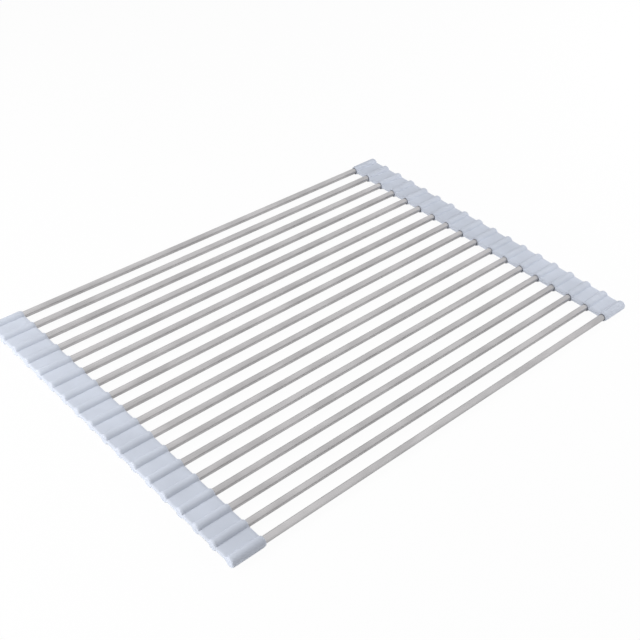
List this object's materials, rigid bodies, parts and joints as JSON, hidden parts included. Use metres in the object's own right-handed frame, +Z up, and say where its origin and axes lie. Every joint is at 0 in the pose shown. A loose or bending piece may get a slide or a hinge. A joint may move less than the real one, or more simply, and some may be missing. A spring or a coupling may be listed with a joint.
{
  "type": "roll up dish drying rack",
  "caption": "Roll up drying rack: a flat mat of parallel steel tubes held in soft end strips, laid over a sink or worktop to drain dishes and rolled up to store.",
  "frame": {"origin": "middle of the underside, at the height of the surface that the rack lies on", "axes": "+X along the tubes, from the left strip to the right strip; +Y away from the end that is rolled up first; +Z up"},
  "size_m": [0.456, 0.3302, 0.0087],
  "materials": {
    "tube_steel": "brushed",
    "strip_silicone": "matte"
  },
  "bodies": {
    "bar_01": {"rod_01": "tube_steel", "left_link_01": "strip_silicone", "right_link_01": "strip_silicone"},
    "bar_02": {"rod_02": "tube_steel", "left_link_02": "strip_silicone", "right_link_02": "strip_silicone"},
    "bar_03": {"rod_03": "tube_steel", "left_link_03": "strip_silicone", "right_link_03": "strip_silicone"},
    "bar_04": {"rod_04": "tube_steel", "left_link_04": "strip_silicone", "right_link_04": "strip_silicone"},
    "bar_05": {"rod_05": "tube_steel", "left_link_05": "strip_silicone", "right_link_05": "strip_silicone"},
    "bar_06": {"rod_06": "tube_steel", "left_link_06": "strip_silicone", "right_link_06": "strip_silicone"},
    "bar_07": {"rod_07": "tube_steel", "left_link_07": "strip_silicone", "right_link_07": "strip_silicone"},
    "bar_08": {"rod_08": "tube_steel", "left_link_08": "strip_silicone", "right_link_08": "strip_silicone"},
    "bar_09": {"rod_09": "tube_steel", "left_link_09": "strip_silicone", "right_link_09": "strip_silicone"},
    "bar_10": {"rod_10": "tube_steel", "left_link_10": "strip_silicone", "right_link_10": "strip_silicone"},
    "bar_11": {"rod_11": "tube_steel", "left_link_11": "strip_silicone", "right_link_11": "strip_silicone"},
    "bar_12": {"rod_12": "tube_steel", "left_link_12": "strip_silicone", "right_link_12": "strip_silicone"},
    "bar_13": {"rod_13": "tube_steel", "left_link_13": "strip_silicone", "right_link_13": "strip_silicone"},
    "bar_14": {"rod_14": "tube_steel", "left_link_14": "strip_silicone", "right_link_14": "strip_silicone"},
    "bar_15": {"rod_15": "tube_steel", "left_link_15": "strip_silicone", "right_link_15": "strip_silicone"},
    "bar_16": {"rod_16": "tube_steel", "left_link_16": "strip_silicone", "right_link_16": "strip_silicone"},
    "bar_17": {"rod_17": "tube_steel", "left_link_17": "strip_silicone", "right_link_17": "strip_silicone"},
    "bar_18": {"rod_18": "tube_steel", "left_link_18": "strip_silicone", "right_link_18": "strip_silicone"}
  },
  "joints": [
    {"name": "roll_hinge_01", "type": "hinge", "parent": "bar_01", "child": "bar_02", "pos_m": [0, 0.1512, 0.00424], "axis": [-1, 0, 0], "range_deg": [0, 29.1]},
    {"name": "roll_hinge_02", "type": "hinge", "parent": "bar_02", "child": "bar_03", "pos_m": [0, 0.1323, 0.00424], "axis": [-1, 0, 0], "range_deg": [0, 29.8]},
    {"name": "roll_hinge_03", "type": "hinge", "parent": "bar_03", "child": "bar_04", "pos_m": [0, 0.1134, 0.00424], "axis": [-1, 0, 0], "range_deg": [0, 30.6]},
    {"name": "roll_hinge_04", "type": "hinge", "parent": "bar_04", "child": "bar_05", "pos_m": [0, 0.0945, 0.00424], "axis": [-1, 0, 0], "range_deg": [0, 31.4]},
    {"name": "roll_hinge_05", "type": "hinge", "parent": "bar_05", "child": "bar_06", "pos_m": [0, 0.0756, 0.00424], "axis": [-1, 0, 0], "range_deg": [0, 32.4]},
    {"name": "roll_hinge_06", "type": "hinge", "parent": "bar_06", "child": "bar_07", "pos_m": [0, 0.0567, 0.00424], "axis": [-1, 0, 0], "range_deg": [0, 33.4]},
    {"name": "roll_hinge_07", "type": "hinge", "parent": "bar_07", "child": "bar_08", "pos_m": [0, 0.0378, 0.00424], "axis": [-1, 0, 0], "range_deg": [0, 34.5]},
    {"name": "roll_hinge_08", "type": "hinge", "parent": "bar_08", "child": "bar_09", "pos_m": [0, 0.0189, 0.00424], "axis": [-1, 0, 0], "range_deg": [0, 35.7]},
    {"name": "roll_hinge_09", "type": "hinge", "parent": "bar_09", "child": "bar_10", "pos_m": [0, 0, 0.00424], "axis": [-1, 0, 0], "range_deg": [0, 37.1]},
    {"name": "roll_hinge_10", "type": "hinge", "parent": "bar_10", "child": "bar_11", "pos_m": [0, -0.0189, 0.00424], "axis": [-1, 0, 0], "range_deg": [0, 38.6]},
    {"name": "roll_hinge_11", "type": "hinge", "parent": "bar_11", "child": "bar_12", "pos_m": [0, -0.0378, 0.00424], "axis": [-1, 0, 0], "range_deg": [0, 40.3]},
    {"name": "roll_hinge_12", "type": "hinge", "parent": "bar_12", "child": "bar_13", "pos_m": [0, -0.0567, 0.00424], "axis": [-1, 0, 0], "range_deg": [0, 42.3]},
    {"name": "roll_hinge_13", "type": "hinge", "parent": "bar_13", "child": "bar_14", "pos_m": [0, -0.0756, 0.00424], "axis": [-1, 0, 0], "range_deg": [0, 44.7]},
    {"name": "roll_hinge_14", "type": "hinge", "parent": "bar_14", "child": "bar_15", "pos_m": [0, -0.0945, 0.00424], "axis": [-1, 0, 0], "range_deg": [0, 47.4]},
    {"name": "roll_hinge_15", "type": "hinge", "parent": "bar_15", "child": "bar_16", "pos_m": [0, -0.1134, 0.00424], "axis": [-1, 0, 0], "range_deg": [0, 50.7]},
    {"name": "roll_hinge_16", "type": "hinge", "parent": "bar_16", "child": "bar_17", "pos_m": [0, -0.1323, 0.00424], "axis": [-1, 0, 0], "range_deg": [0, 54.9]},
    {"name": "roll_hinge_17", "type": "hinge", "parent": "bar_17", "child": "bar_18", "pos_m": [0, -0.1512, 0.00424], "axis": [-1, 0, 0], "range_deg": [0, 60.3]}
  ]
}
